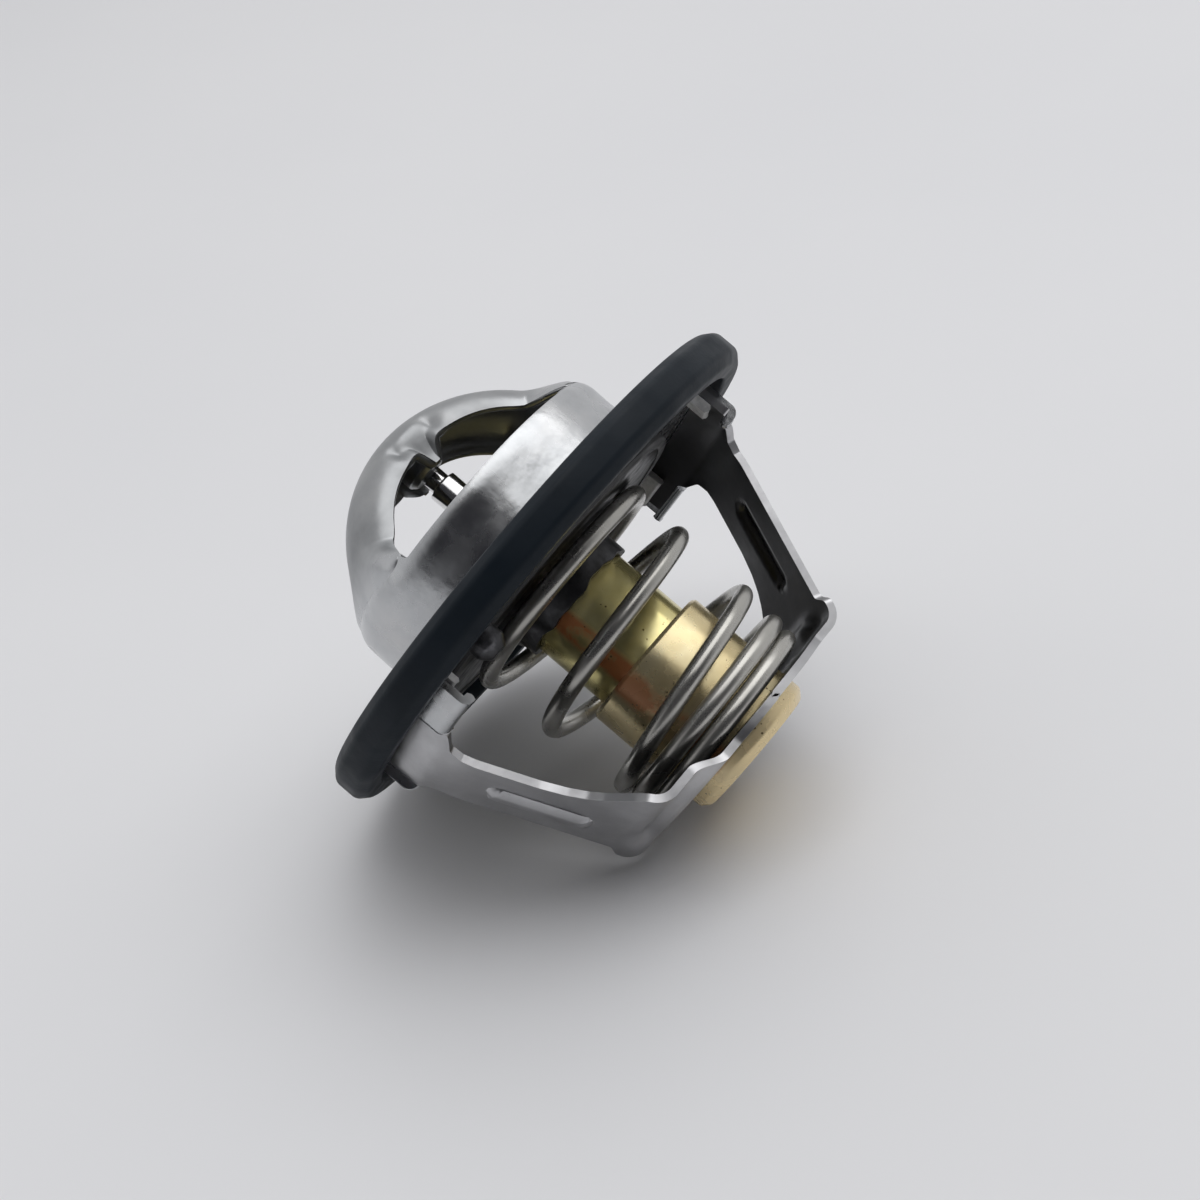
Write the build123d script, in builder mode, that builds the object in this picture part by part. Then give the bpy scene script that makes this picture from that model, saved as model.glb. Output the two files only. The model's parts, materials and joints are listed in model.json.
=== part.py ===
from build123d import *
import math
import os

# Engine coolant thermostat of the wax pellet kind, 56 mm over its rubber gasket.
# Frame: the axis of the thermostat is Z. The bridge is up (+Z, towards the radiator hose)
# and the wax capsule is down (-Z, in the hot coolant). The origin is on the axis, at the
# middle of the flange sheet. X runs through both legs of the lower frame.
# All lengths are in millimetres and all angles in degrees.

os.makedirs("parts", exist_ok=True)

# ---- gasket and flange -------------------------------------------------------
gasket_r = 28.0                 # outer radius, sits in the housing's counterbore
gasket_height = 4.1
gasket_top_lip = 4.1            # width of the lip above the flange
gasket_bottom_lip = 3.1         # width of the lip below the flange
gasket_edge_round = 0.9
lip_edge_round = 0.3
gasket_wall = 1.4               # between the groove's floor and the rim
fit_clearance = 0.03            # radial clearance of every close fit

# ---- upper body: flange, collar and bridge drawn from one sheet -----------------
upper_sheet = 0.9
flange_width = 11.6             # from the gasket's rim in to the collar's wall
neck_round = 1.2                # between flange and collar, on the outside
mouth_top = 9.8                 # highest point of the collar
shoulder_round = 2.9
mouth_lip = 0.3                 # flat edge round the opening in its top
sill_low = 8.1                  # lowest point of a window's sill
sill_margin = 1.8               # the sill meets the bridge this far inside the mouth
bridge_centre_z = 3.0           # the bridge is an arc about this height
bridge_inset = 0.1              # its arc starts this far inside the collar's wall
bridge_half_width = 4.6
bridge_depth = 4.2              # its edges are turned down this far
bridge_foot_angle = 74.0        # from the crown to a foot
hub_socket_r = 2.4              # boss under the crown that holds the piston pin
hub_socket_height = 4.7
hub_lobe_r = 1.5                # rounded lobes hanging from the edges beside the pin
hub_recess_width = 6.0          # hollow behind the lobe, along the bridge
dent_r = 1.9                    # pressed dents that grip the socket, two in each edge
dent_offset = 2.4
dent_depth = 0.5
dent_above_edge = 0.9

# ---- frame heads and the flange tabs that hold them -----------------------------
frame_sheet = 0.8
head_half_width = 10.7
head_to_lip = 0.7               # free space between the tabs and the gasket's lip
head_clearance = 0.05           # between a head and the flange above it
ear_bottom = -3.9
tab_sheet = 0.85
tab_inner_y = 7.2
tab_outer_y = 10.9
lug_inner_y = 7.7               # short lugs that stand inside the ears
lug_outer_y = 10.3
lug_height = 1.9
tab_clearance = 0.05            # between a head and the tabs round it

# ---- lower frame -----------------------------------------------------------------
knee_z = -4.9                   # where a leg leaves its head
knee_round = 2.6
leg_half_width = 4.2
neck_z = -7.4                   # where a head has narrowed to the leg
shoulder_y = 6.8                # half width of a head where its taper starts
shoulder_z = -4.5
flare_top_z = -13.8             # where one side of the leg starts to widen
flare_middle_z = -16.8
flare_middle_y = 5.2
flare_bottom_z = -21.8
foot_half_width = 9.3           # plate and leg meet this wide on the flared side
step_top_z = -21.8              # the other side stays straight almost to the corner
step_bottom_z = -22.6
step_y = 5.7
neck_overlap = 1.0              # the curved head runs this far into the flat leg
corner_x = 14.9                 # outer corner between leg and plate
corner_z = -23.6
corner_round = 2.2
dish_depth = 1.5                # the middle of the plate is pressed down
dish_slope = 1.5                # run of its sloping edge
dish_clearance = 0.15           # beside the spring's end turn
dish_round = 1.0
plate_boss_r = 10.8             # round seat of the spring
capsule_clearance = 0.3
rib_half_width = 1.3
rib_length = 10.8
rib_middle_z = -12.9
rib_rise = 0.55

# ---- valve -------------------------------------------------------------------------
valve_sheet = 0.8
valve_overlap = 1.0             # the disc reaches this far past the collar's wall
valve_top = -1.05
seat_clearance = 0.05
seal_inner_lip = 1.5            # the seal covers this much of the disc's edge
seal_wall = 0.8                 # and stands out this far past it
seal_edge_round = 0.3
seal_bottom = -2.3
centring_r = 9.4                # step that centres the spring
centring_step = 0.7
valve_neck_bottom = -5.0        # drawn neck round the guide

# ---- wax element ----------------------------------------------------------------------
guide_r = 5.85
guide_top = 1.4
guide_edge = 0.4
guide_foot_height = 0.9
ring_thickness = 0.7
ring_groove_depth = 0.6
ring_r = 7.1
cup_r = 7.35
cup_wall = 0.85
cup_top = -13.05
cup_bottom = -27.1
cup_edge_round = 0.8
cup_lip = 0.7                   # crimped over the guide's foot
boot_flange = 0.9
boot_r = 3.0
boot_floor = 0.8
backup_thickness = 0.4           # washer between the boot and the guide
wiper_r = 2.9
wiper_height = 1.4

# ---- piston pin --------------------------------------------------------------------------
pin_r = 1.63
pin_tip_r = 1.13
pin_tip_length = 6.1
pin_bottom = -23.4
pin_edge = 0.25

# ---- main spring ----------------------------------------------------------------------------
wire_r = 0.94
spring_top_r = 11.4             # mean radius at the valve
spring_bottom_r = 9.8           # mean radius at the plate
spring_turns = 4.85
resting_turns = 0.8             # turns lying against the valve
closed_turns = 2.1              # turns lying on each other at the plate
resting_pitch = 0.3
wire_gap = 0.05                 # between turns that lie on each other
spring_lean = 0.8               # the open turns sag this much towards lean_angle
lean_angle = 150.0
seat_gap = 0.03                 # between an end turn and what it presses on
wire_start_angle = 278.0        # about the axis, where the wire starts at the valve
points_per_turn = 8

# ---- jiggle pin: lets air out while the coolant is filled ---------------------------------------
jiggle_angle = 40.0
jiggle_hole_r = 1.15
jiggle_stem_r = 0.75
jiggle_head_r = 1.75
jiggle_head_height = 0.7
jiggle_weight_r = 1.6
jiggle_weight_height = 2.4
jiggle_travel = 1.0

# ---- derived sizes ------------------------------------------------------------------------------
flange_top = upper_sheet / 2
flange_bottom = -upper_sheet / 2
flange_r = gasket_r - gasket_wall
gasket_top_lip_r = gasket_r - gasket_top_lip
gasket_bottom_lip_r = gasket_r - gasket_bottom_lip
collar_r = gasket_r - flange_width
throat_r = collar_r - upper_sheet
mouth_r = collar_r - shoulder_round - mouth_lip
sill_half_span = mouth_r - sill_margin
bridge_r = collar_r - bridge_inset
shelf_bottom = mouth_top - upper_sheet
crown_z = bridge_centre_z + bridge_r
bridge_edge_z = crown_z - bridge_depth
hub_socket_bottom = crown_z - hub_socket_height
pin_step_z = crown_z - upper_sheet - pin_tip_length
tab_outer_r = gasket_bottom_lip_r - head_to_lip
head_r = tab_outer_r - tab_sheet - tab_clearance
head_inner_r = head_r - frame_sheet
dish_r = spring_bottom_r + wire_r + dish_clearance
plate_bottom = corner_z - dish_depth
plate_top = plate_bottom + frame_sheet
leg_slope = math.atan2(head_r - corner_x, knee_z - corner_z)
valve_r = collar_r + valve_overlap
seal_inner_r = valve_r - seal_inner_lip
seal_outer_r = valve_r + seal_wall
jiggle_radius = (seal_outer_r + gasket_top_lip_r) / 2
valve_bottom = valve_top - valve_sheet
valve_bore_r = guide_r + fit_clearance
cup_bore_r = cup_r - cup_wall
guide_foot_r = cup_bore_r - fit_clearance
guide_foot_top = cup_top - cup_lip
guide_bottom = guide_foot_top - guide_foot_height
pin_bore_r = pin_r + fit_clearance
boot_bottom = pin_bottom - seat_gap - boot_floor
wax_top = guide_bottom - boot_flange
jiggle_spot = (
    jiggle_radius * math.cos(math.radians(jiggle_angle)),
    jiggle_radius * math.sin(math.radians(jiggle_angle)),
)


def angle_at(offset, radius):
    """Angle about Z at which a circle of this radius is at the given distance from XZ."""
    return math.degrees(math.asin(offset / radius))


def leg_outside(height):
    """Distance of a leg's outer face from the axis, at a height between knee and corner."""
    return corner_x + (height - corner_z) * math.tan(leg_slope)


def corner_near(section, radius, height):
    """Corner of a section that lies nearest to the given radius and height."""
    return section.vertices().sort_by_distance((radius, height))[0]


# ---- gasket: rubber ring with a groove for the flange --------------------------------------------
with BuildPart() as gasket:
    with BuildSketch(Plane.XZ) as gasket_section:
        with Locations(((gasket_top_lip_r + gasket_r) / 2, 0)):
            Rectangle(gasket_r - gasket_top_lip_r, gasket_height)
        fillet(gasket_section.vertices().group_by(Axis.X)[-1], gasket_edge_round)
        fillet(gasket_section.vertices().group_by(Axis.X)[0], lip_edge_round)
        with Locations((0, flange_top)):
            Rectangle(
                flange_r + fit_clearance,
                upper_sheet,
                align=(Align.MIN, Align.MAX),
                mode=Mode.SUBTRACT,
            )
            Rectangle(
                gasket_bottom_lip_r,
                gasket_height,
                align=(Align.MIN, Align.MAX),
                mode=Mode.SUBTRACT,
            )
    revolve(axis=Axis.Z)
gasket.part.label = "gasket"
export_step(gasket.part, "parts/gasket.step")

# ---- bridge: an arc with turned-down edges, from one side of the mouth to the other --------------
with BuildPart() as bridge:
    with BuildSketch(Plane.YZ):
        with Locations((0, bridge_edge_z)):
            Ellipse(bridge_half_width, bridge_depth)
            Ellipse(bridge_half_width - upper_sheet, bridge_depth - upper_sheet, mode=Mode.SUBTRACT)
            Rectangle(
                2 * bridge_half_width,
                bridge_depth,
                align=(Align.CENTER, Align.MIN),
                mode=Mode.INTERSECT,
            )
    revolve(
        axis=Axis((0, 0, bridge_centre_z), (0, 1, 0)),
        revolution_arc=bridge_foot_angle,
    )
    mirror(about=Plane.YZ)
    # The feet end in the collar's shoulder: nothing of the bridge stands in the throat.
    with BuildSketch(Plane.XY):
        Circle(collar_r)
    extrude(amount=shelf_bottom, mode=Mode.SUBTRACT)
    # Dents pressed into both edges, beside the socket.
    dent_y = bridge_half_width + dent_r - dent_depth
    with Locations((0, 0, bridge_edge_z + dent_above_edge)):
        with GridLocations(2 * dent_offset, 2 * dent_y, 2, 2):
            Sphere(dent_r, mode=Mode.SUBTRACT)
    # Rounded lobes in the turned-down edges.
    with BuildSketch(Plane.XZ):
        with Locations((0, bridge_edge_z)):
            Circle(hub_lobe_r)
            Rectangle(
                2 * hub_lobe_r,
                hub_lobe_r,
                align=(Align.CENTER, Align.MAX),
                mode=Mode.INTERSECT,
            )
    extrude(amount=bridge_half_width, both=True)
    with BuildSketch(Plane.XZ):
        with Locations((0, bridge_edge_z)):
            Rectangle(
                hub_recess_width,
                2 * hub_lobe_r,
                align=(Align.CENTER, Align.MAX),
            )
    extrude(amount=bridge_half_width - upper_sheet, both=True, mode=Mode.SUBTRACT)
    # Socket for the tip of the piston pin.
    with BuildSketch(Plane.XY.offset(hub_socket_bottom)):
        Circle(hub_socket_r)
    extrude(amount=crown_z - upper_sheet / 2 - hub_socket_bottom)
    with BuildSketch(Plane.XY.offset(hub_socket_bottom)):
        Circle(pin_tip_r + fit_clearance)
    extrude(amount=crown_z - upper_sheet - hub_socket_bottom, mode=Mode.SUBTRACT)

# ---- tabs: tongues of the flange that are folded round the frame's heads -------------------------
tab_inner_r = head_inner_r - tab_clearance
tab_hook_top = ear_bottom - tab_clearance

with BuildPart() as tabs:
    with BuildSketch(Plane.XZ.rotated((0, 0, angle_at(tab_inner_y, head_r)))):
        with Locations((tab_outer_r, flange_bottom + upper_sheet / 2)):
            Rectangle(
                tab_sheet,
                upper_sheet / 2 - tab_hook_top + tab_sheet + flange_bottom,
                align=(Align.MAX, Align.MAX),
            )
        with Locations((tab_outer_r, tab_hook_top)):
            Rectangle(tab_outer_r - tab_inner_r, tab_sheet, align=(Align.MAX, Align.MAX))
    revolve(
        axis=Axis.Z,
        revolution_arc=angle_at(tab_outer_y, head_r) - angle_at(tab_inner_y, head_r),
    )
    with BuildSketch(Plane.XZ.rotated((0, 0, angle_at(lug_inner_y, head_r)))):
        with Locations((tab_inner_r, flange_bottom - lug_height)):
            Rectangle(tab_sheet, lug_height + upper_sheet / 2, align=(Align.MAX, Align.MIN))
    revolve(
        axis=Axis.Z,
        revolution_arc=angle_at(lug_outer_y, head_r) - angle_at(lug_inner_y, head_r),
    )
    mirror(about=Plane.XZ)
    mirror(about=Plane.YZ)

# ---- upper body ----------------------------------------------------------------------------------
with BuildPart() as upper_body:
    with BuildSketch(Plane.XZ) as body_section:
        with BuildLine():
            Polyline(
                (throat_r, flange_bottom),
                (flange_r, flange_bottom),
                (flange_r, flange_top),
                (collar_r, flange_top),
                (collar_r, mouth_top),
                (mouth_r, mouth_top),
                (mouth_r, shelf_bottom),
                (throat_r, shelf_bottom),
                close=True,
            )
        make_face()
        fillet(corner_near(body_section, collar_r, flange_top), neck_round)
        fillet(corner_near(body_section, collar_r, mouth_top), shoulder_round)
        fillet(corner_near(body_section, throat_r, shelf_bottom), shoulder_round - upper_sheet)
    revolve(axis=Axis.Z)
    # The sills of the two windows sag between the bridge's feet.
    sill_rise = mouth_top - sill_low
    sill_r = (sill_half_span**2 + sill_rise**2) / (2 * sill_rise)
    with BuildSketch(Plane.XZ):
        with Locations((0, sill_low + sill_r)):
            Circle(sill_r)
    extrude(amount=collar_r, both=True, mode=Mode.SUBTRACT)
    with BuildSketch():
        with Locations(jiggle_spot):
            Circle(jiggle_hole_r)
    extrude(amount=upper_sheet, both=True, mode=Mode.SUBTRACT)
    add(bridge.part)
    add(tabs.part)
upper_body.part.label = "upper_body"
export_step(upper_body.part, "parts/upper_body.step")

# ---- heads of the lower frame: curved bands under the flange, tapering to the legs ---------------
leg_inward = Vector(-math.sin(leg_slope), -math.cos(leg_slope))
knee = Vector(head_r - frame_sheet / 2, knee_z)
head_end = knee + leg_inward * ((knee_z - neck_z + neck_overlap) / math.cos(leg_slope))

with BuildPart() as heads:
    with BuildSketch(Plane.XZ):
        with BuildLine():
            FilletPolyline(
                (knee.X, flange_bottom - head_clearance),
                knee,
                head_end,
                radius=knee_round,
            )
        trace(line_width=frame_sheet)
    revolve(axis=Axis.Z)
    with BuildSketch(Plane.YZ):
        with BuildLine():
            Polyline(
                (0, 0),
                (head_half_width, 0),
                (head_half_width, ear_bottom),
                (shoulder_y, ear_bottom),
                (shoulder_y, shoulder_z),
                (leg_half_width, neck_z),
                (leg_half_width, neck_z - 2 * neck_overlap),
                (0, neck_z - 2 * neck_overlap),
                close=True,
            )
        make_face()
        mirror(about=Plane.YZ)
    extrude(amount=gasket_r, both=True, mode=Mode.INTERSECT)

# ---- lower frame: two legs and the dished plate that carries the spring --------------------------
leg_outward = (math.cos(leg_slope), 0, -math.sin(leg_slope))
leg_face = Plane(
    origin=(leg_outside(rib_middle_z), 0, rib_middle_z),
    x_dir=(0, 1, 0),
    z_dir=leg_outward,
)

with BuildPart() as lower_frame:
    with BuildSketch(Plane.XZ):
        with BuildLine():
            FilletPolyline(
                (leg_outside(neck_z) - frame_sheet / 2, neck_z),
                (corner_x - frame_sheet / 2, corner_z + frame_sheet / 2),
                (dish_r + dish_slope, corner_z + frame_sheet / 2),
                (dish_r, plate_bottom + frame_sheet / 2),
                (0, plate_bottom + frame_sheet / 2),
                radius=[corner_round, dish_round, dish_round],
            )
        trace(line_width=frame_sheet)
    extrude(amount=plate_boss_r, both=True)
    with BuildSketch(leg_face):
        SlotOverall(rib_length, 2 * rib_half_width, rotation=90)
    extrude(amount=rib_rise)
    with BuildSketch(leg_face.offset(-frame_sheet)):
        SlotOverall(rib_length - rib_half_width, rib_half_width, rotation=90)
    extrude(amount=rib_rise, mode=Mode.SUBTRACT)
    mirror(about=Plane.YZ)
    with BuildSketch(Plane.XY.offset(plate_bottom)):
        Circle(plate_boss_r)
        for turn in (1, -1):
            with BuildLine():
                Polyline(
                    (0, 0),
                    (0, turn * foot_half_width),
                    (turn * gasket_r, turn * foot_half_width),
                    (turn * gasket_r, -turn * step_y),
                    (turn * plate_boss_r, -turn * step_y),
                    (turn * step_y, -turn * foot_half_width),
                    close=True,
                )
            make_face()
    extrude(amount=-plate_bottom, mode=Mode.INTERSECT)
    # Each leg widens on one side and stays straight on the other; half a turn brings one leg
    # onto the other.
    for turn in (1, -1):
        with BuildSketch(Plane.YZ):
            with BuildLine():
                Polyline(
                    (turn * leg_half_width, 0),
                    (turn * leg_half_width, flare_top_z),
                    (turn * flare_middle_y, flare_middle_z),
                    (turn * foot_half_width, flare_bottom_z),
                    (turn * gasket_r, flare_bottom_z),
                    (turn * gasket_r, 0),
                    close=True,
                )
            make_face()
            with BuildLine():
                Polyline(
                    (-turn * leg_half_width, 0),
                    (-turn * leg_half_width, step_top_z),
                    (-turn * step_y, step_bottom_z),
                    (-turn * gasket_r, step_bottom_z),
                    (-turn * gasket_r, 0),
                    close=True,
                )
            make_face()
        extrude(amount=turn * gasket_r, mode=Mode.SUBTRACT)
    with BuildSketch(Plane.XY.offset(plate_bottom)):
        Circle(cup_r + capsule_clearance)
    extrude(amount=frame_sheet, both=True, mode=Mode.SUBTRACT)
    add(heads.part)
lower_frame.part.label = "lower_frame"
export_step(lower_frame.part, "parts/lower_frame.step")

# ---- piston pin: steel, held in the bridge -------------------------------------------------------
with BuildPart() as piston_pin:
    with BuildSketch(Plane.XY.offset(pin_bottom)):
        Circle(pin_r)
    extrude(amount=pin_step_z - pin_bottom)
    chamfer(piston_pin.edges().group_by(Axis.Z)[-1], pin_edge)
    chamfer(piston_pin.edges().group_by(Axis.Z)[0], pin_edge)
    with BuildSketch(Plane.XY.offset(pin_step_z)):
        Circle(pin_tip_r)
    extrude(amount=crown_z - upper_sheet - fit_clearance - pin_step_z)
piston_pin.part.label = "piston_pin"
export_step(piston_pin.part, "parts/piston_pin.step")

# ---- valve disc: dished steel pressing with a neck round the guide -------------------------------
with BuildPart() as valve_disc:
    with BuildSketch(Plane.XZ):
        with BuildLine():
            Polyline(
                (valve_bore_r, valve_top - centring_step),
                (centring_r, valve_top - centring_step),
                (centring_r + centring_step, valve_top),
                (valve_r, valve_top),
                (valve_r, valve_bottom),
                (centring_r, valve_bottom),
                (centring_r - centring_step, valve_bottom - centring_step),
                (valve_bore_r + valve_sheet, valve_bottom - centring_step),
                (valve_bore_r + valve_sheet, valve_neck_bottom),
                (valve_bore_r, valve_neck_bottom),
                close=True,
            )
        make_face()
    revolve(axis=Axis.Z)
valve_disc.part.label = "valve_disc"
export_step(valve_disc.part, "parts/valve_disc.step")

# ---- valve seal: rubber moulded round the edge of the disc ---------------------------------------
with BuildPart() as valve_seal:
    with BuildSketch(Plane.XZ) as seal_section:
        with Locations((seal_inner_r, flange_bottom - seat_clearance)):
            Rectangle(
                seal_outer_r - seal_inner_r,
                flange_bottom - seat_clearance - seal_bottom,
                align=(Align.MIN, Align.MAX),
            )
        fillet(seal_section.vertices(), seal_edge_round)
        with Locations((0, valve_top)):
            Rectangle(
                valve_r + fit_clearance,
                valve_sheet,
                align=(Align.MIN, Align.MAX),
                mode=Mode.SUBTRACT,
            )
    revolve(axis=Axis.Z)
valve_seal.part.label = "valve_seal"
export_step(valve_seal.part, "parts/valve_seal.step")

# ---- guide: turned brass, carries the valve and is crimped into the cup --------------------------
ring_bottom = valve_top - centring_step

with BuildPart() as guide:
    with BuildSketch(Plane.XY.offset(guide_bottom)):
        Circle(guide_r)
    extrude(amount=guide_top - guide_bottom)
    chamfer(guide.edges().group_by(Axis.Z)[-1], guide_edge)
    with BuildSketch(Plane.XY.offset(guide_bottom)):
        Circle(guide_foot_r)
    extrude(amount=guide_foot_height)
    with BuildSketch(Plane.XY.offset(ring_bottom)):
        Circle(guide_r)
        Circle(guide_r - ring_groove_depth, mode=Mode.SUBTRACT)
    extrude(amount=ring_thickness + fit_clearance, mode=Mode.SUBTRACT)
    with BuildSketch(Plane.XY.offset(guide_bottom)):
        Circle(pin_bore_r)
    extrude(amount=guide_top - guide_bottom, mode=Mode.SUBTRACT)
    with BuildSketch(Plane.XY.offset(guide_top)):
        Circle(wiper_r + fit_clearance)
    extrude(amount=-wiper_height, mode=Mode.SUBTRACT)
guide.part.label = "guide"
export_step(guide.part, "parts/guide.step")

# ---- retaining ring: open spring ring in the guide's groove, above the disc ----------------------
with BuildPart() as retaining_ring:
    with BuildSketch(Plane.XY.offset(ring_bottom)):
        Circle(ring_r)
        Circle(guide_r - ring_groove_depth + fit_clearance, mode=Mode.SUBTRACT)
        with Locations((-ring_r, 0)):
            Rectangle(ring_r, guide_r, mode=Mode.SUBTRACT)
    extrude(amount=ring_thickness)
retaining_ring.part.label = "retaining_ring"
export_step(retaining_ring.part, "parts/retaining_ring.step")

# ---- wiper: rubber ring in the top of the guide that keeps dirt off the pin ----------------------
with BuildPart() as wiper:
    with BuildSketch(Plane.XY.offset(guide_top)):
        Circle(wiper_r)
        Circle(pin_bore_r, mode=Mode.SUBTRACT)
    extrude(amount=fit_clearance - wiper_height)
wiper.part.label = "wiper"
export_step(wiper.part, "parts/wiper.step")

# ---- cup: drawn brass, filled with wax -----------------------------------------------------------
with BuildPart() as wax_cup:
    with BuildSketch(Plane.XY.offset(cup_bottom)):
        Circle(cup_r)
    extrude(amount=cup_top - cup_bottom)
    fillet(wax_cup.edges().group_by(Axis.Z)[0], cup_edge_round)
    with BuildSketch(Plane.XY.offset(cup_bottom + cup_wall)):
        Circle(cup_bore_r)
    extrude(amount=guide_foot_top - cup_bottom - cup_wall, mode=Mode.SUBTRACT)
    with BuildSketch(Plane.XY.offset(guide_foot_top)):
        Circle(guide_r + fit_clearance)
    extrude(amount=cup_lip, mode=Mode.SUBTRACT)
wax_cup.part.label = "wax_cup"
export_step(wax_cup.part, "parts/wax_cup.step")

# ---- boot: rubber sleeve between the wax and the pin ---------------------------------------------
with BuildPart() as boot:
    with BuildSketch(Plane.XY.offset(boot_bottom)):
        Circle(boot_r)
    extrude(amount=wax_top - boot_bottom)
    with BuildSketch(Plane.XY.offset(wax_top)):
        Circle(guide_foot_r)
    extrude(amount=boot_flange - backup_thickness)
    with BuildSketch(Plane.XY.offset(pin_bottom - seat_gap)):
        Circle(pin_bore_r)
    extrude(amount=guide_bottom - pin_bottom, mode=Mode.SUBTRACT)
boot.part.label = "boot"
export_step(boot.part, "parts/boot.step")

# ---- backup washer: keeps the rubber out of the guide's bore -------------------------------------
with BuildPart() as backup_washer:
    with BuildSketch(Plane.XY.offset(guide_bottom)):
        Circle(guide_foot_r)
        Circle(pin_bore_r, mode=Mode.SUBTRACT)
    extrude(amount=-backup_thickness)
backup_washer.part.label = "backup_washer"
export_step(backup_washer.part, "parts/backup_washer.step")

# ---- wax: fills the cup round the boot -----------------------------------------------------------
with BuildPart() as wax:
    with BuildSketch(Plane.XY.offset(cup_bottom + cup_wall)):
        Circle(cup_bore_r - fit_clearance)
    extrude(amount=wax_top - cup_bottom - cup_wall)
    with BuildSketch(Plane.XY.offset(boot_bottom)):
        Circle(boot_r + fit_clearance)
    extrude(amount=wax_top - boot_bottom, mode=Mode.SUBTRACT)
wax.part.label = "wax"
export_step(wax.part, "parts/wax.step")

# ---- main spring: conical, with its last turns closed on the plate -------------------------------
spring_top_z = valve_bottom - seat_gap - wire_r
spring_bottom_z = plate_top + seat_gap + wire_r
closed_pitch = 2 * wire_r + wire_gap
open_turns = spring_turns - resting_turns - closed_turns
open_drop = spring_top_z - spring_bottom_z - resting_turns * resting_pitch - closed_turns * closed_pitch


def wire_point(turn):
    """Centre of the wire after this many turns from the valve."""
    drop = min(turn, resting_turns) * resting_pitch
    drop += min(max(turn - resting_turns, 0), open_turns) / open_turns * open_drop
    drop += max(turn - resting_turns - open_turns, 0) * closed_pitch
    radius = spring_top_r + (spring_bottom_r - spring_top_r) * turn / spring_turns
    angle = math.radians(wire_start_angle - 360 * turn)
    open_share = min(max((turn - resting_turns) / open_turns, 0), 1)
    sag = math.cos(angle - math.radians(lean_angle)) * math.sin(math.pi * open_share)
    drop += spring_lean * sag
    return (radius * math.cos(angle), radius * math.sin(angle), spring_top_z - drop)


wire_steps = round(spring_turns * points_per_turn)
wire_points = [wire_point(spring_turns * step / wire_steps) for step in range(wire_steps + 1)]

with BuildPart() as main_spring:
    with BuildLine() as wire_path:
        Spline(*wire_points)
    with BuildSketch(Plane(origin=wire_path.line @ 0, z_dir=wire_path.line % 0)):
        Circle(wire_r)
    sweep()
main_spring.part.label = "main_spring"
export_step(main_spring.part, "parts/main_spring.step")

# ---- jiggle pin: a head above the flange and a weight below it -----------------------------------
weight_top = flange_bottom - jiggle_travel

with BuildPart() as jiggle_pin:
    with BuildSketch(Plane.XY.offset(flange_top + seat_gap)):
        with Locations(jiggle_spot):
            Circle(jiggle_head_r)
    extrude(amount=jiggle_head_height)
    fillet(jiggle_pin.edges().group_by(Axis.Z)[-1], jiggle_head_height / 2)
    with BuildSketch(Plane.XY.offset(weight_top)):
        with Locations(jiggle_spot):
            Circle(jiggle_stem_r)
    extrude(amount=flange_top + seat_gap - weight_top)
jiggle_pin.part.label = "jiggle_pin"
export_step(jiggle_pin.part, "parts/jiggle_pin.step")

with BuildPart() as jiggle_weight:
    with BuildSketch(Plane.XY.offset(weight_top)):
        with Locations(jiggle_spot):
            Circle(jiggle_weight_r)
    extrude(amount=-jiggle_weight_height)
    fillet(jiggle_weight.edges().group_by(Axis.Z)[0], jiggle_weight_r / 2)
jiggle_weight.part.label = "jiggle_weight"
export_step(jiggle_weight.part, "parts/jiggle_weight.step")
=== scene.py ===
import json
import math

import bmesh
import bpy
import numpy as np
from mathutils import Matrix, Quaternion, Vector
from mathutils.geometry import delaunay_2d_cdt

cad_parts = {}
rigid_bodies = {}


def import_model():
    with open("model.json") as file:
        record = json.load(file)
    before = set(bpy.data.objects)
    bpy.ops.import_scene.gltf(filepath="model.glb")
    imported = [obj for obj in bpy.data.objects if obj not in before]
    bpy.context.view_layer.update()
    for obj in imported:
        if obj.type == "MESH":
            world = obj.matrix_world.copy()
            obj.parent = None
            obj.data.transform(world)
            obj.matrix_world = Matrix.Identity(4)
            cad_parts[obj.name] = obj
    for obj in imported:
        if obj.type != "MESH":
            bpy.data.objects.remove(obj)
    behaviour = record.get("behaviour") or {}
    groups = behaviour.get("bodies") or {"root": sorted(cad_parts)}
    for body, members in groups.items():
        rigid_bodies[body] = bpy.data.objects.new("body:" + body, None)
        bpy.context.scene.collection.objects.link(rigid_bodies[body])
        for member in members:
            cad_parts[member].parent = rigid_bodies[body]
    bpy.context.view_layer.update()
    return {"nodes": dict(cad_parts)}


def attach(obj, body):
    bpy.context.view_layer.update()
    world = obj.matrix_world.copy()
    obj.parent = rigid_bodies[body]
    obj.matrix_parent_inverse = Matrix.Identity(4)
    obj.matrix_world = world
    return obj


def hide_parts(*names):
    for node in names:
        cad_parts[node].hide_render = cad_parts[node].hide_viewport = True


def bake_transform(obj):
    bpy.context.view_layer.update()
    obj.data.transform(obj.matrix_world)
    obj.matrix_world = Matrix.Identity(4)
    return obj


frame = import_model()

# Engine coolant thermostat. Shapes are written in millimetres in the row frame: Z is the
# axis of the thermostat with the bridge up, X runs through the legs of the lower frame.

scene = bpy.context.scene
MM = 0.001


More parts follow.
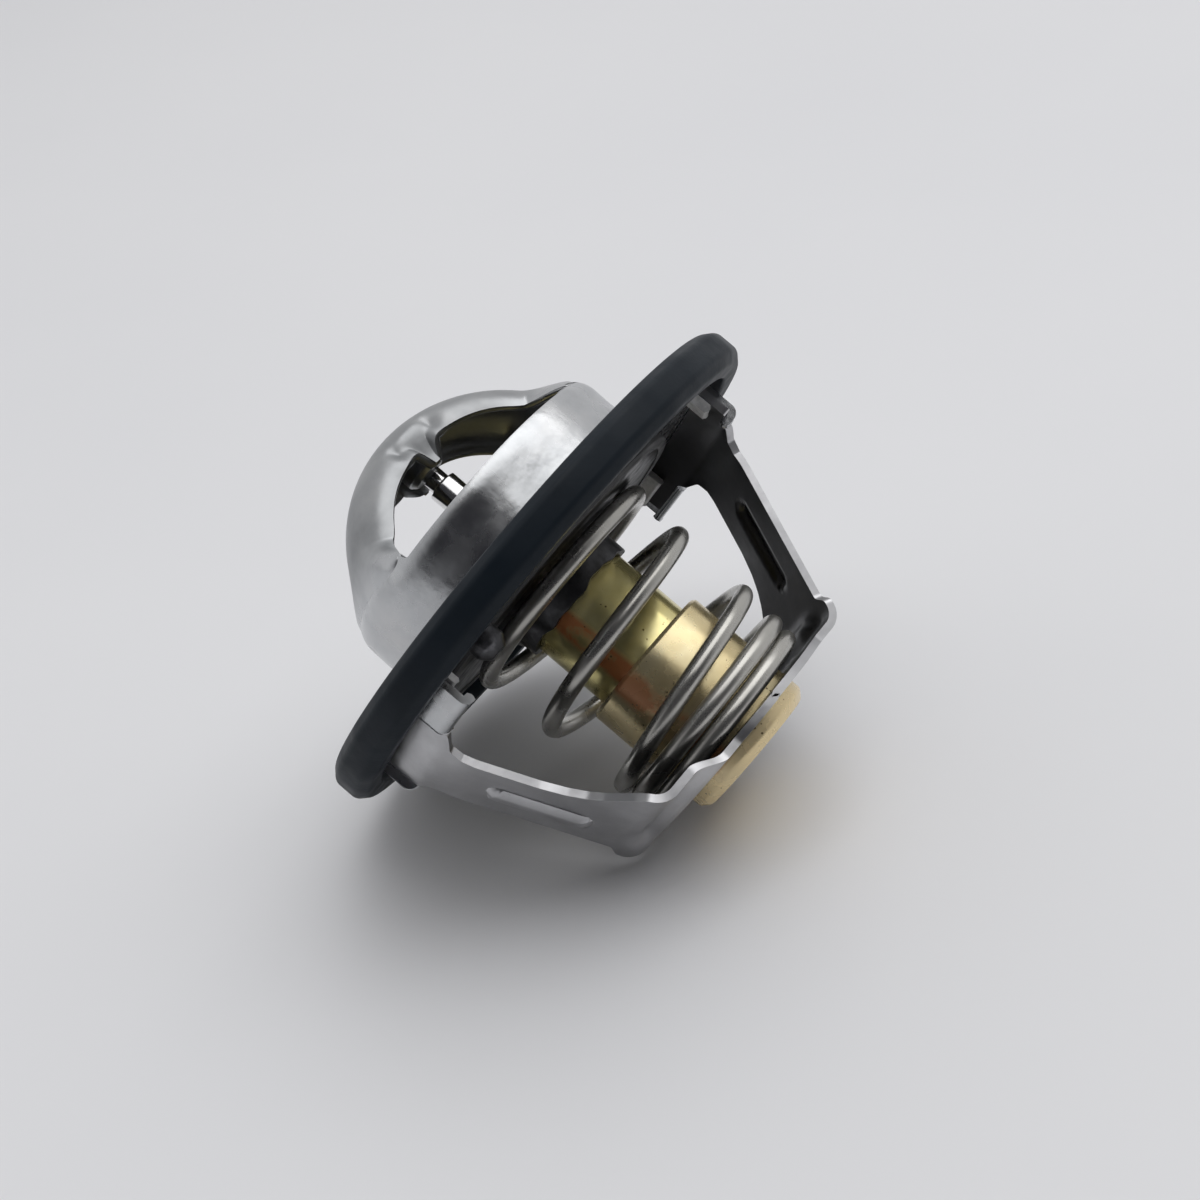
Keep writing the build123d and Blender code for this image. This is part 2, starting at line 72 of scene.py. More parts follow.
# ---------------------------------------------------------------- mesh helpers
def build(name, verts, faces, material, body="frame", sharp=35, bevel=0.0):
    """One closed mesh from points in millimetres, normals outward, riding on a body."""
    mesh = bpy.data.meshes.new(name)
    mesh.from_pydata((np.asarray(verts, float) * MM).tolist(), [], [list(f) for f in faces])
    bm = bmesh.new()
    bm.from_mesh(mesh)
    bmesh.ops.remove_doubles(bm, verts=bm.verts, dist=2e-7)
    bmesh.ops.dissolve_degenerate(bm, edges=bm.edges, dist=1e-7)
    if bm.calc_volume(signed=True) < 0:
        bmesh.ops.reverse_faces(bm, faces=bm.faces)
    bm.to_mesh(mesh)
    bm.free()
    mesh.shade_smooth()
    mesh.set_sharp_from_angle(angle=math.radians(sharp))
    mesh.materials.append(material)
    obj = bpy.data.objects.new(name, mesh)
    scene.collection.objects.link(obj)
    if bevel:
        edge = obj.modifiers.new("edge", "BEVEL")
        edge.width = bevel * MM
        edge.segments = 2
        edge.limit_method = "ANGLE"
        edge.angle_limit = math.radians(40)
        edge.harden_normals = False
    if body:
        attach(obj, body)
    return obj


def grid_faces(nu, nv, wrap_u, wrap_v):
    """Quads of a two-parameter grid whose points are numbered row by row."""
    i = np.arange(nu if wrap_u else nu - 1)
    j = np.arange(nv if wrap_v else nv - 1)
    a, b = np.meshgrid(i, j, indexing="ij")
    a2, b2 = (a + 1) % nu, (b + 1) % nv
    quads = np.stack([a * nv + b, a2 * nv + b, a2 * nv + b2, a * nv + b2], -1)
    return quads.reshape(-1, 4).tolist()


def loft(name, points, material, wrap_u=True, **kw):
    """Closed skin through rings: points[u, v] with v going round each ring.
    With wrap_u the rings close on themselves, otherwise both end rings are filled."""
    nu, nv = points.shape[:2]
    faces = grid_faces(nu, nv, wrap_u, True)
    if not wrap_u:
        faces += [list(range(nv))[::-1], [(nu - 1) * nv + k for k in range(nv)]]
    return build(name, points.reshape(-1, 3), faces, material, **kw)


def lathe(name, profile, material, steps=192, centre=(0.0, 0.0), ripple=None, **kw):
    """Surface of revolution: (r cos a, r sin a, z) for a closed profile of (r, z).
    ripple(a, r, z) may return a new (r, z) for small unevenness."""
    a = np.linspace(0, 2 * np.pi, steps, endpoint=False)[:, None]
    r = np.repeat(profile[None, :, 0], steps, 0)
    z = np.repeat(profile[None, :, 1], steps, 0)
    if ripple:
        r, z = ripple(a, r, z)
    points = np.stack([centre[0] + r * np.cos(a), centre[1] + r * np.sin(a), z], -1)
    return loft(name, points, material, **kw)


def rounded(points, radii, closed=True, step=0.12):
    """Polyline with every corner replaced by an arc of its own radius, evenly divided."""
    pts = [np.array(p, float) for p in points]
    n = len(pts)
    if np.isscalar(radii):
        radii = [radii] * n
    out = []
    for k in range(n):
        if not closed and k in (0, n - 1):
            out.append(pts[k])
            continue
        a, p, b = pts[k - 1], pts[k], pts[(k + 1) % n]
        u, v = (a - p) / np.linalg.norm(a - p), (b - p) / np.linalg.norm(b - p)
        half = math.acos(max(-1, min(1, float(u @ v)))) / 2
        room = 0.49 * min(np.linalg.norm(a - p), np.linalg.norm(b - p))
        if radii[k] <= 0 or half > 1.56:
            out.append(p)
            continue
        reach = min(radii[k] / math.tan(half), room)
        radius = reach * math.tan(half)
        mid = (u + v) / np.linalg.norm(u + v)
        centre = p + mid * radius / math.sin(half)
        s, e = p + u * reach - centre, p + v * reach - centre
        turn = math.atan2(s[0] * e[1] - s[1] * e[0], float(s @ e))
        count = max(3, int(abs(turn) * radius / step) + 2)
        for w in np.linspace(0, turn, count):
            c, d = math.cos(w), math.sin(w)
            out.append(centre + np.array([c * s[0] - d * s[1], d * s[0] + c * s[1]]))
    return np.array(out)


def resample(path, step, closed=False):
    """The same line with a point at least every step, corners kept."""
    out = []
    n = len(path)
    for k in range(n if closed else n - 1):
        a, b = path[k], path[(k + 1) % n]
        count = max(1, int(np.linalg.norm(b - a) / step))
        out += [a + (b - a) * w for w in np.arange(count) / count]
    if not closed:
        out.append(path[-1])
    return np.array(out)


def thick(middle, sheet, wrap_u, rim=5):
    """Rings round a sheet: middle[u, v] offset by half the sheet along its normal to both
    sides, and joined over each v edge by a half round of the same radius."""
    if wrap_u:
        du = np.roll(middle, -1, 0) - np.roll(middle, 1, 0)
    else:
        du = np.gradient(middle, axis=0)
    dv = np.gradient(middle, axis=1)
    n = np.cross(du, dv)
    n /= np.linalg.norm(n, axis=-1, keepdims=True) + 1e-12
    h = sheet / 2
    ends = []
    for k, sign in ((-1, 1), (0, -1)):
        out = sign * (middle[:, k] - middle[:, k - sign])
        out -= n[:, k] * np.sum(out * n[:, k], -1, keepdims=True)
        out /= np.linalg.norm(out, axis=-1, keepdims=True) + 1e-12
        w = np.linspace(0, np.pi, rim + 2)[1:-1][None, :, None]
        centre = middle[:, k][:, None] - out[:, None] * h
        start = n[:, k][:, None] * sign
        ends.append(centre + h * (start * np.cos(w) + out[:, None] * np.sin(w)))
    inner = middle[:, 1:-1]
    side = n[:, 1:-1] * h
    return np.concatenate([inner + side, ends[0], (inner - side)[:, ::-1], ends[1]], 1)


def inside(pts, loop):
    """Even-odd test of many points against one closed loop."""
    x, y = pts[:, 0][:, None], pts[:, 1][:, None]
    x1, y1 = loop[:, 0][None], loop[:, 1][None]
    x2, y2 = np.roll(x1, -1, 1), np.roll(y1, -1, 1)
    cross = (y1 > y) != (y2 > y)
    at = x1 + (y - y1) * (x2 - x1) / np.where(y2 == y1, 1e-12, y2 - y1)
    return (np.sum(cross & (x < at), 1) % 2).astype(bool)


def bent_sheet(name, outline, holes, bend, sheet, spacing, material, **kw):
    """A flat pattern, cut along its outline and holes, bent into space.
    bend(s, y) gives the middle of the sheet; both faces lie half a sheet from it along
    the normal d(bend)/ds x d(bend)/dy, and every cut edge is closed by a strip."""
    loops = [outline] + holes
    border = np.concatenate(loops)
    lo2, hi2 = outline.min(0), outline.max(0)
    gx = np.arange(lo2[0] + spacing / 2, hi2[0], spacing)
    gy = np.arange(lo2[1] + spacing / 2, hi2[1], spacing)
    field = np.stack(np.meshgrid(gx, gy, indexing="ij"), -1).reshape(-1, 2)
    keep = inside(field, outline)
    for hole in holes:
        keep &= ~inside(field, hole)
    field = field[keep]
    gap = np.hypot(field[:, :1] - border[:, 0], field[:, 1:] - border[:, 1]).min(1)
    field = field[gap > 0.45 * spacing]
    edges, first = [], 0
    for loop in loops:
        n = len(loop)
        edges += [(first + k, first + (k + 1) % n) for k in range(n)]
        first += n
    flat = np.concatenate([border, field])
    done = delaunay_2d_cdt([Vector(p) for p in flat], edges, [], 0, 1e-6)
    flat = np.array([tuple(p) for p in done[0]])
    tris = np.array([f for f in done[2] if len(f) == 3])
    mid = flat[tris].mean(1)
    keep = inside(mid, outline)
    for hole in holes:
        keep &= ~inside(mid, hole)
    tris = tris[keep]
    s, y = flat[:, 0], flat[:, 1]
    e = 0.02
    ds = bend(s + e, y) - bend(s - e, y)
    dy = bend(s, y + e) - bend(s, y - e)
    n = np.cross(ds, dy)
    n /= np.linalg.norm(n, axis=1, keepdims=True)
    mid = bend(s, y)
    count = len(flat)
    verts = np.concatenate([mid + n * sheet / 2, mid - n * sheet / 2])
    faces = [tuple(t) for t in tris] + [tuple(count + t[::-1]) for t in tris]
    used = {}
    for t in tris:
        for a, b in ((t[0], t[1]), (t[1], t[2]), (t[2], t[0])):
            used[(a, b)] = used.get((a, b), 0) + 1
    for a, b in used:
        if (b, a) not in used:
            faces.append((b, a, count + a, count + b))
    return build(name, verts, faces, material, **kw)


def smooth(t):
    """0 below 0, 1 above 1, and 3t^2 - 2t^3 between."""
    t = np.clip(t, 0, 1)
    return t * t * (3 - 2 * t)


# ---------------------------------------------------------------- materials
def add(tree, kind, sockets=None, **settings):
    """A new node. Settings are its own properties; sockets gives its inputs by name or
    number, each a plain value or another node's output."""
    node = tree.nodes.new(kind)
    for key, value in settings.items():
        setattr(node, key, value)
    for key, value in (sockets or {}).items():
        if isinstance(value, bpy.types.NodeSocket):
            tree.links.new(value, node.inputs[key])
        else:
            node.inputs[key].default_value = value
    return node


def cloudy(tree, place, scale, detail=2.0, rough=0.5):
    """A cloudy noise from 0 to 1, with its scale in patches a metre."""
    sockets = {"Vector": place, "Scale": scale, "Detail": detail, "Roughness": rough}
    return add(tree, "ShaderNodeTexNoise", sockets).outputs["Fac"]


def span(tree, value, low, high, at_low, at_high):
    """Where a value lies between two marks, told as a number from at_low to at_high."""
    sockets = {"Value": value, "From Min": low, "From Max": high, "To Min": at_low, "To Max": at_high}
    return add(tree, "ShaderNodeMapRange", sockets).outputs["Result"]


def arithmetic(tree, kind, *values):
    """One step of arithmetic on one or two values."""
    return add(tree, "ShaderNodeMath", dict(enumerate(values)), operation=kind).outputs["Value"]


def scaled(tree, colour, factor):
    """A colour times a factor."""
    node = add(tree, "ShaderNodeVectorMath", {0: colour, "Scale": factor}, operation="SCALE")
    return node.outputs["Vector"]


def dot_product(tree, first, second):
    """How far two directions point the same way."""
    node = add(tree, "ShaderNodeVectorMath", {0: first, 1: second}, operation="DOT_PRODUCT")
    return node.outputs["Value"]


def laid_over(tree, mask, under, over):
    """One colour laid over another where the mask is 1."""
    sockets = {"Factor": mask, "A": under, "B": over}
    return add(tree, "ShaderNodeMix", sockets, data_type="RGBA").outputs["Result"]


def ramp(tree, points, value):
    """The colour between tones that are given with their places from 0 to 1."""
    node = add(tree, "ShaderNodeValToRGB", {"Fac": value})
    stops = node.color_ramp.elements
    stops[0].position, stops[0].color = points[0][0], (*points[0][1], 1)
    stops[1].position, stops[1].color = points[-1][0], (*points[-1][1], 1)
    for place, colour in points[1:-1]:
        stops.new(place).color = (*colour, 1)
    return node.outputs["Color"]


def relief(tree, height, strength, depth, under=None):
    """The normal of a bumpy surface, with another relief under it if there is one."""
    sockets = {"Strength": strength, "Distance": depth, "Height": height}
    if under is not None:
        sockets["Normal"] = under
    return add(tree, "ShaderNodeBump", sockets).outputs["Normal"]


def painted_reflection_strip(tree, axes, patch, degrees, half_width):
    """1 along a strip of a round side, at an angle about the axis and broken into patches: the place of
    a painted reflection.
    """
    turn = arithmetic(tree, "ARCTAN2", axes["Y"], axes["X"])
    away = arithmetic(tree, "ABSOLUTE", arithmetic(tree, "SUBTRACT", turn, math.radians(degrees)))
    reach = math.radians(half_width)
    edge = span(tree, away, reach * 0.6, reach, 1.0, 0.0)
    return arithmetic(tree, "MULTIPLY", edge, span(tree, patch, 0.43, 0.53, 0.15, 0.95))


def dark_pits(tree, place, colour, tone, pits):
    """Dark specks in some cells of a cellular pattern, gathered by a noise."""
    cells = add(tree, "ShaderNodeTexVoronoi", {"Vector": place, "Scale": pits}).outputs["Distance"]
    size = span(tree, cloudy(tree, place, pits * 0.35), 0.56, 0.64, 0.0, 0.2)
    speck = arithmetic(tree, "LESS_THAN", cells, size)
    return laid_over(tree, speck, colour, (tone[0] * 0.25, tone[1] * 0.22, tone[2] * 0.2, 1))


def surface(name, tones, metal, rough, blotch=160.0, grain=3000.0, stretch=(1, 1, 1),
            bump=0.15, depth=0.00002, pits=0.0, specular=0.5, inner=1.0, waves=0.0,
            roof=None, reflection_band=None, end=None):
    """A finish on object coordinates, in metres: tones mixed by a cloudy noise, roughness
    between two values by a second one, and a fine stretched grain as bump. pits are cells a
    metre for dark pits, inner is the tone left where a face looks towards the axis, which is
    painted shade, waves the height of a broad unevenness, and above the height roof the sheet
    is rougher and its colour darker, the darker colour being painted shade. reflection_band
    (degrees, half width, colour) is a painted reflection, a less metallic band along the axis
    at an angle, and end (height, colour) a matt coat below a height."""
    mat = bpy.data.materials.new(name)
    mat.use_nodes = True
    tree = mat.node_tree
    shader = tree.nodes["Principled BSDF"]
    shader.inputs["Metallic"].default_value = metal
    shader.inputs["Specular IOR Level"].default_value = specular
    where = add(tree, "ShaderNodeTexCoord").outputs
    place = where["Object"]
    axes = add(tree, "ShaderNodeSeparateXYZ", {"Vector": place}).outputs
    patch = cloudy(tree, place, blotch, 6, 0.62)
    colour = ramp(tree, tones, patch)
    gloss = span(tree, cloudy(tree, place, blotch * 2.7, 5), 0.35, 0.68, *rough)
    # Above roof the sheet is rougher, and its colour is darkened by a third: painted shade that dims
    # the bridge's highlights.
    if roof is not None:
        aloft = span(tree, axes["Z"], roof, roof + 0.004, 0.0, 1.0)
        gloss = arithmetic(tree, "ADD", gloss, arithmetic(tree, "MULTIPLY", aloft, 0.15))
        colour = scaled(tree, colour, span(tree, aloft, 0.0, 1.0, 1.0, 0.66))
    # Layers laid over the tones: a painted reflection, a brown band at an angle about the axis, and a
    # paler, less metallic coat below a height.
    coats_and_reflections = []
    if reflection_band:
        coats_and_reflections.append((painted_reflection_strip(tree, axes, patch, *reflection_band[:2]), reflection_band[2], 0.25))
    if end:
        coats_and_reflections.append((span(tree, axes["Z"], end[0], end[0] + 0.0004, 1.0, 0.0), end[1], 0.35))
    shine = metal
    for mask, coat_and_reflection_tone, metal_left in coats_and_reflections:
        colour = laid_over(tree, mask, colour, (*coat_and_reflection_tone, 1))
        shine = arithmetic(tree, "MULTIPLY", span(tree, mask, 0.0, 1.0, 1.0, metal_left / metal), shine)
    if pits:
        colour = dark_pits(tree, place, colour, tones[0][1], pits)
    # Painted shade: faces that look towards the axis are darkened to the tone inner.
    if inner < 1.0:
        inward = dot_product(tree, place, where["Normal"])
        colour = scaled(tree, colour, span(tree, inward, -0.011, -0.004, inner, 1.0))
    drawn = add(tree, "ShaderNodeMapping", {"Vector": place, "Scale": stretch}).outputs["Vector"]
    broad = relief(tree, cloudy(tree, place, 260, 3), 1.0, waves) if waves else None
    normal = relief(tree, cloudy(tree, drawn, grain, 4), bump, depth, broad)
    for key, value in (("Base Color", colour), ("Roughness", gloss), ("Normal", normal)):
        tree.links.new(value, shader.inputs[key])
    if coats_and_reflections:
        tree.links.new(shine, shader.inputs["Metallic"])
    return mat


# Above 9.5 mm the bridge's colour is darkened as painted shade.
steel_body = surface(
    "drawn_steel", [(0.3, (0.40, 0.41, 0.42)), (0.5, (0.50, 0.51, 0.52)), (0.75, (0.60, 0.60, 0.60))],
    1.0, (0.2, 0.34), blotch=120, grain=900, stretch=(1, 1, 0.25), bump=0.3, depth=0.00006,
    waves=0.0001, roof=0.0095)
# Faces of the frame that look towards the axis are darkened to 0.16 of their tone: painted shade.
steel_frame = surface(
    "pressed_steel",
    [(0.3, (0.40, 0.40, 0.41)), (0.55, (0.50, 0.50, 0.51)), (0.75, (0.58, 0.58, 0.59))],
    1.0, (0.28, 0.4), blotch=140, grain=1100, stretch=(1, 0.3, 1), bump=0.3, depth=0.00005,
    inner=0.16, waves=0.00005)
# Near-white, barely metallic tones are painted light: the lugs stand in shade and are made to read as
# lit.
torn_steel_painted_light = surface(
    "torn_steel_painted_light", [(0.3, (0.42, 0.42, 0.42)), (0.5, (0.72, 0.72, 0.71)), (0.75, (0.95, 0.94, 0.92))],
    0.15, (0.4, 0.55), blotch=520, grain=1500, bump=0.6, depth=0.00012)
steel_wire = surface(
    "spring_wire", [(0.3, (0.40, 0.39, 0.36)), (0.6, (0.47, 0.46, 0.43)), (0.8, (0.53, 0.52, 0.49))],
    0.9, (0.24, 0.34), blotch=120, grain=2600, bump=0.05, depth=0.00002)
steel_pin = surface(
    "ground_steel", [(0.3, (0.6, 0.6, 0.6)), (0.6, (0.72, 0.72, 0.72))],
    1.0, (0.1, 0.2), blotch=300, grain=2600, stretch=(0.2, 0.2, 3), bump=0.1)
# Very dark tones: a dull steel, darkened further as painted shade for the disc's underside under the
# spring.
steel_valve = surface(
    "dull_steel_painted_shade",
    [(0.35, (0.03, 0.03, 0.03)), (0.55, (0.07, 0.07, 0.074)), (0.75, (0.26, 0.26, 0.275))],
    1.0, (0.3, 0.5), blotch=230, grain=1300, bump=0.4, depth=0.00008)
# The brown band on the guide and the cup at 38 degrees is a painted reflection.
brass_guide = surface(
    "turned_brass", [(0.3, (0.74, 0.63, 0.24)), (0.55, (0.82, 0.73, 0.34)), (0.8, (0.88, 0.80, 0.44))],
    0.72, (0.17, 0.26), blotch=200, grain=1500, stretch=(0.08, 0.08, 4), bump=0.04, depth=0.00003,
    pits=1900, reflection_band=(38, 15, (0.56, 0.20, 0.07)))
brass_cup = surface(
    "drawn_brass", [(0.3, (0.74, 0.59, 0.31)), (0.55, (0.82, 0.69, 0.40)), (0.8, (0.88, 0.78, 0.5))],
    0.72, (0.22, 0.32), blotch=180, grain=1500, stretch=(0.1, 0.1, 4), bump=0.05, depth=0.00003,
    pits=1800, reflection_band=(38, 15, (0.50, 0.22, 0.10)), end=(-0.0255, (0.90, 0.73, 0.42)))
rubber = surface(
    "gasket_rubber",
    [(0.3, (0.006, 0.010, 0.015)), (0.55, (0.009, 0.014, 0.020)), (0.8, (0.014, 0.020, 0.028))],
    0.0, (0.42, 0.58), blotch=110, grain=2600, bump=0.3, depth=0.00005, specular=0.15)
rubber_black = surface(
    "black_rubber", [(0.3, (0.012, 0.012, 0.013)), (0.7, (0.03, 0.03, 0.031))],
    0.0, (0.5, 0.7), blotch=200, grain=2600, bump=0.3, depth=0.00005)
washer_white = surface(
    "white_washer", [(0.3, (0.72, 0.72, 0.7)), (0.7, (0.82, 0.82, 0.8))], 0.0, (0.4, 0.55))
wax_brown = surface(
    "copper_wax", [(0.3, (0.3, 0.13, 0.06)), (0.7, (0.5, 0.26, 0.13))], 0.0, (0.5, 0.7), grain=4000)

# ---------------------------------------------------------------- gasket
GASKET_R, GASKET_HALF = 28.0, 2.05
LIP_R, LOW_LIP_R = 23.95, 24.95
GROOVE_R, GROOVE_HALF = 26.6, 0.46
gasket_profile = rounded(
    [(LIP_R, GASKET_HALF - 0.03), (GASKET_R - 1, GASKET_HALF), (GASKET_R, 1.15), (GASKET_R, -1.15),
     (GASKET_R - 1, -GASKET_HALF), (LOW_LIP_R, 0.05 - GASKET_HALF), (LOW_LIP_R, -GROOVE_HALF),
     (GROOVE_R, -GROOVE_HALF), (GROOVE_R, GROOVE_HALF), (LIP_R, GROOVE_HALF)],
    [0.28, 0.7, 0.9, 0.9, 0.7, 0.28, 0.1, 0.05, 0.05, 0.12])


def gasket_ripple(a, r, z):
    """The outer rim wanders inwards by up to 0.07; nothing moves inside a radius of 26.7."""
    return r - 0.035 * (1 + np.sin(3 * a) * np.sin(7 * a + 1)) * smooth((r - 26.7) / 1.0), z


gasket = lathe("gasket_ring", gasket_profile, rubber, steps=320, ripple=gasket_ripple)
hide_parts("gasket")

# ---------------------------------------------------------------- upper body
SHEET = 0.9
FLANGE_R, THROAT_R = 26.55, 18.0
COLLAR_R, COLLAR_FOOT, COLLAR_TOP = 15.95, 1.6, 6.6
ROLL_R, ROLL_TOP = 2.45, 8.42
ROLL_MIDDLE = (COLLAR_R - ROLL_R, 6.9)
ROUND = np.linspace(0, 2 * np.pi, 384, endpoint=False)


def collar_middle(angle):
    """Middle of the flange and collar at each angle: out of the flat flange a quarter round
    rises into the wall, and the wall rolls inwards at the top. The roll is a short sill
    along the open sides and nearly a full quarter where the bridge stands, past x = 12.5."""
    rise = np.linspace(0, np.pi / 2, 12)
    flat, wall = np.linspace(FLANGE_R, THROAT_R, 16)[:-1], np.linspace(2.2, COLLAR_TOP, 10)
    r = np.concatenate([flat, COLLAR_R + COLLAR_FOOT * (1 - np.sin(rise)), np.full(10, COLLAR_R)])
    z = np.concatenate([0 * flat, COLLAR_FOOT * (1 - np.cos(rise)), wall])
    sill = math.asin((ROLL_TOP - 0.2 - ROLL_MIDDLE[1]) / ROLL_R)
    under_bridge = smooth((np.abs(15.6 * np.cos(angle)) - 12.5) / 1.1)
    roll = (sill + (np.pi / 2 * 0.98 - sill) * under_bridge)[:, None] * np.arange(1, 17) / 16
    r = np.concatenate([np.repeat(r[None], len(angle), 0), ROLL_MIDDLE[0] + ROLL_R * np.cos(roll)], 1)
    z = np.concatenate([np.repeat(z[None], len(angle), 0), ROLL_MIDDLE[1] + ROLL_R * np.sin(roll)], 1)
    # the unevenness of a drawn wall, a few hundredths of a millimetre
    r = r + 0.04 * np.sin(5 * angle[:, None] + z * 0.9) * smooth((z - 1.5) / 2)
    return np.stack([r * np.cos(angle)[:, None], r * np.sin(angle)[:, None], z], -1)


collar = loft("flange_and_collar", thick(collar_middle(ROUND), SHEET, True), steel_body, sharp=60)


STRAP_R, STRAP_Z, STRAP_END = 15.85, 3.0, 72


def strap_middle(phi, tau):
    """Middle of the bridge: an arc of radius STRAP_R about (0, STRAP_Z) in XZ with a
    half-round section, phi degrees along the arc and tau from -90 to 90 over the section.
    At the top two lobes are pinched down round the socket, with a dent on each side of
    them. Towards the feet the section widens and flattens to the collar's own curve."""
    along = np.abs(phi)
    foot = smooth((along - 44) / 26)
    lobe = np.exp(-((phi / 5.6) ** 4))
    half = 4.15 + 0.25 * smooth((along - 18) / 30)
    half = half + 3.9 * smooth((along - 50) / 18) - 1.7 * smooth((along - 64) / 8)
    depth = 3.25 + 0.35 * np.exp(-((phi / 20) ** 2))
    depth = depth * (1 - foot) + 1.9 * foot
    side, crown = np.sin(np.radians(tau)), np.cos(np.radians(tau))
    edge = smooth((np.abs(side) - 0.75) / 0.25)
    dent = np.exp(-(((along - 9.5) / 4.2) ** 2) - ((np.abs(tau) - 64) / 20) ** 2)
    y = half * side * (1 - 0.3 * lobe * edge) - np.sign(side) * 0.75 * dent
    radius = STRAP_R - depth * (1 - crown) - 1.75 * lobe * edge - 0.2 * dent
    arc = np.radians(phi)
    return np.stack([radius * np.sin(arc), y, STRAP_Z + radius * np.cos(arc)], -1)


along, over = np.linspace(-STRAP_END, STRAP_END, 361), np.linspace(-90, 90, 73)
strap = strap_middle(*np.meshgrid(along, over, indexing="ij"))
bridge = loft("bridge_strap", thick(strap, SHEET, False), steel_body, wrap_u=False, sharp=60)

socket_profile = rounded([(0.0, 18.3), (2.2, 18.3), (2.25, 14.4), (1.75, 13.85), (0.0, 13.85)],
                         [0, 0.3, 0.35, 0.25, 0])
socket = lathe("pin_socket", socket_profile, steel_body, steps=96, sharp=40)


TONGUE_SHEET = 0.8
FOLD_PATH = [(23.78, -0.2), (23.78, -4.35), (22.35, -4.35)]
LUG_PATH = [(22.0, -0.2), (22.0, -2.6)]


def tongue(name, path, y0, y1, sx, sy, radius, material=steel_body):
    """A tongue of the flange: a bent path in (r, z) swept round the axis between two
    distances from the XZ plane, and mirrored by sx and sy."""
    line = resample(rounded(path, 0.55, closed=False, step=0.08), 0.2)
    w = np.arcsin(np.linspace(y0, y1, 19) / radius)[:, None]
    mid = np.stack([sx * line[None, :, 0] * np.cos(w), sy * line[None, :, 0] * np.sin(w),
                    np.repeat(line[None, :, 1], 19, 0)], -1)
    skin = thick(mid, TONGUE_SHEET, False, rim=4)
    return loft(name, skin, material, wrap_u=False, sharp=50, bevel=0.08)


tongues = (("a", 1, 1, 11.3), ("b", 1, -1, 8.8), ("c", -1, 1, 8.8), ("d", -1, -1, 11.8))
for tag, sx, sy, far_y in tongues:
    tongue("fold_" + tag, FOLD_PATH, 7.25, far_y, sx, sy, 23.4)
    tongue("lug_" + tag, LUG_PATH, 7.3, 10.5, sx, sy, 22.0, torn_steel_painted_light)
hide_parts("upper_body")

# ---------------------------------------------------------------- lower frame
FRAME_SHEET = 0.8
SHELF, DISH = -23.2, -24.7
KNEE_X, KNEE_Z, HEAD_Z = 22.95, -4.9, -0.52
LEG_SLOPE, LEG_HALF = 0.4575, 4.2
CORNER_Z, CORNER_R, KNEE_R = -19.0, 2.1, 2.6
SEAT_R, HOLE_R = 10.8, 7.68


def leg_x(z):
    """Middle of the leg's sheet at a height."""
    return KNEE_X + (z - KNEE_Z) * LEG_SLOPE


def lengths(path):
    """Distance along a path at each of its points."""
    return np.concatenate([[0], np.cumsum(np.linalg.norm(np.diff(path, axis=0), axis=1))])


def bottom_path(level):
    """From the axis along the plate and round the corner up to CORNER_Z, in 300 points."""
    corners = [(0, level), (leg_x(level), level), (leg_x(CORNER_Z), CORNER_Z)]
    path = rounded(corners, [0, CORNER_R, 0], closed=False, step=0.05)
    reach = lengths(path)
    share = np.linspace(0, reach[-1], 300)
    even_path = np.stack([np.interp(share, reach, path[:, k]) for k in (0, 1)], 1)
    return even_path, reach[-1]


path_shelf, s_low = bottom_path(SHELF)
path_deep, _ = bottom_path(DISH + 0.05)
leg_line = [(leg_x(CORNER_Z), CORNER_Z), (KNEE_X, KNEE_Z), (KNEE_X, HEAD_Z)]
upper_path = resample(rounded(leg_line, [0, KNEE_R, 0], closed=False, step=0.1), 0.1)
s_up = s_low + lengths(upper_path)
S_END = s_up[-1]


def s_at(z):
    """Distance along the strap at which a leg passes a height."""
    if z >= CORNER_Z:
        return float(np.interp(z, upper_path[:, 1], s_up))
    lower = path_shelf[:, 0] > 13.6
    return float(np.interp(z, path_shelf[lower, 1], np.linspace(0, s_low, 300)[lower]))


def frame_bend(s, y):
    """Where a point of the flat strap goes. The plate is dished round the spring, its
    flared corners stay up on a shelf and its plain corners lie as deep as the dish; the
    legs slope out to curved heads and carry a pressed rib. Half a turn maps it on itself."""
    d = np.abs(s)
    own = y * np.where(s >= 0, 1, -1)
    deep = smooth((-own - 0.2) / 3.6)
    share = np.linspace(0, s_low, 300)
    xa, za = np.interp(d, share, path_shelf[:, 0]), np.interp(d, share, path_shelf[:, 1])
    xb, zb = np.interp(d, share, path_deep[:, 0]), np.interp(d, share, path_deep[:, 1])
    dish_r = np.sqrt(np.maximum(11.9 ** 2 - y * y, 40.0)) - 0.2
    dip = 1 - smooth((xa - dish_r) / (1.6 + 2.0 * (y / 9.3) ** 2))
    za = za + (DISH - SHELF) * dip * smooth((s_low - d) / 3.0)
    x, z = xa + (xb - xa) * deep, za + (zb - za) * deep
    x = np.where(d < s_low, x, np.interp(d, s_up, upper_path[:, 0]))
    z = np.where(d < s_low, z, np.interp(d, s_up, upper_path[:, 1]))
    head = smooth((z + 8.6) / 3.6)
    x = x - head * (x - np.sqrt(np.maximum(x * x - y * y, 0)))
    rib_s = np.clip(d, s_at(-18.3), s_at(-11.2))
    far = np.sqrt((d - rib_s) ** 2 + y * y)
    rise = 0.6 * smooth((1.2 - far) / 0.6)
    return np.stack([np.sign(s) * (x + 0.91 * rise), y, z - 0.41 * rise], -1)


def seat_edge(s):
    """Half width of the round seat of the spring."""
    return np.sqrt(np.maximum(SEAT_R ** 2 - s ** 2, 0))


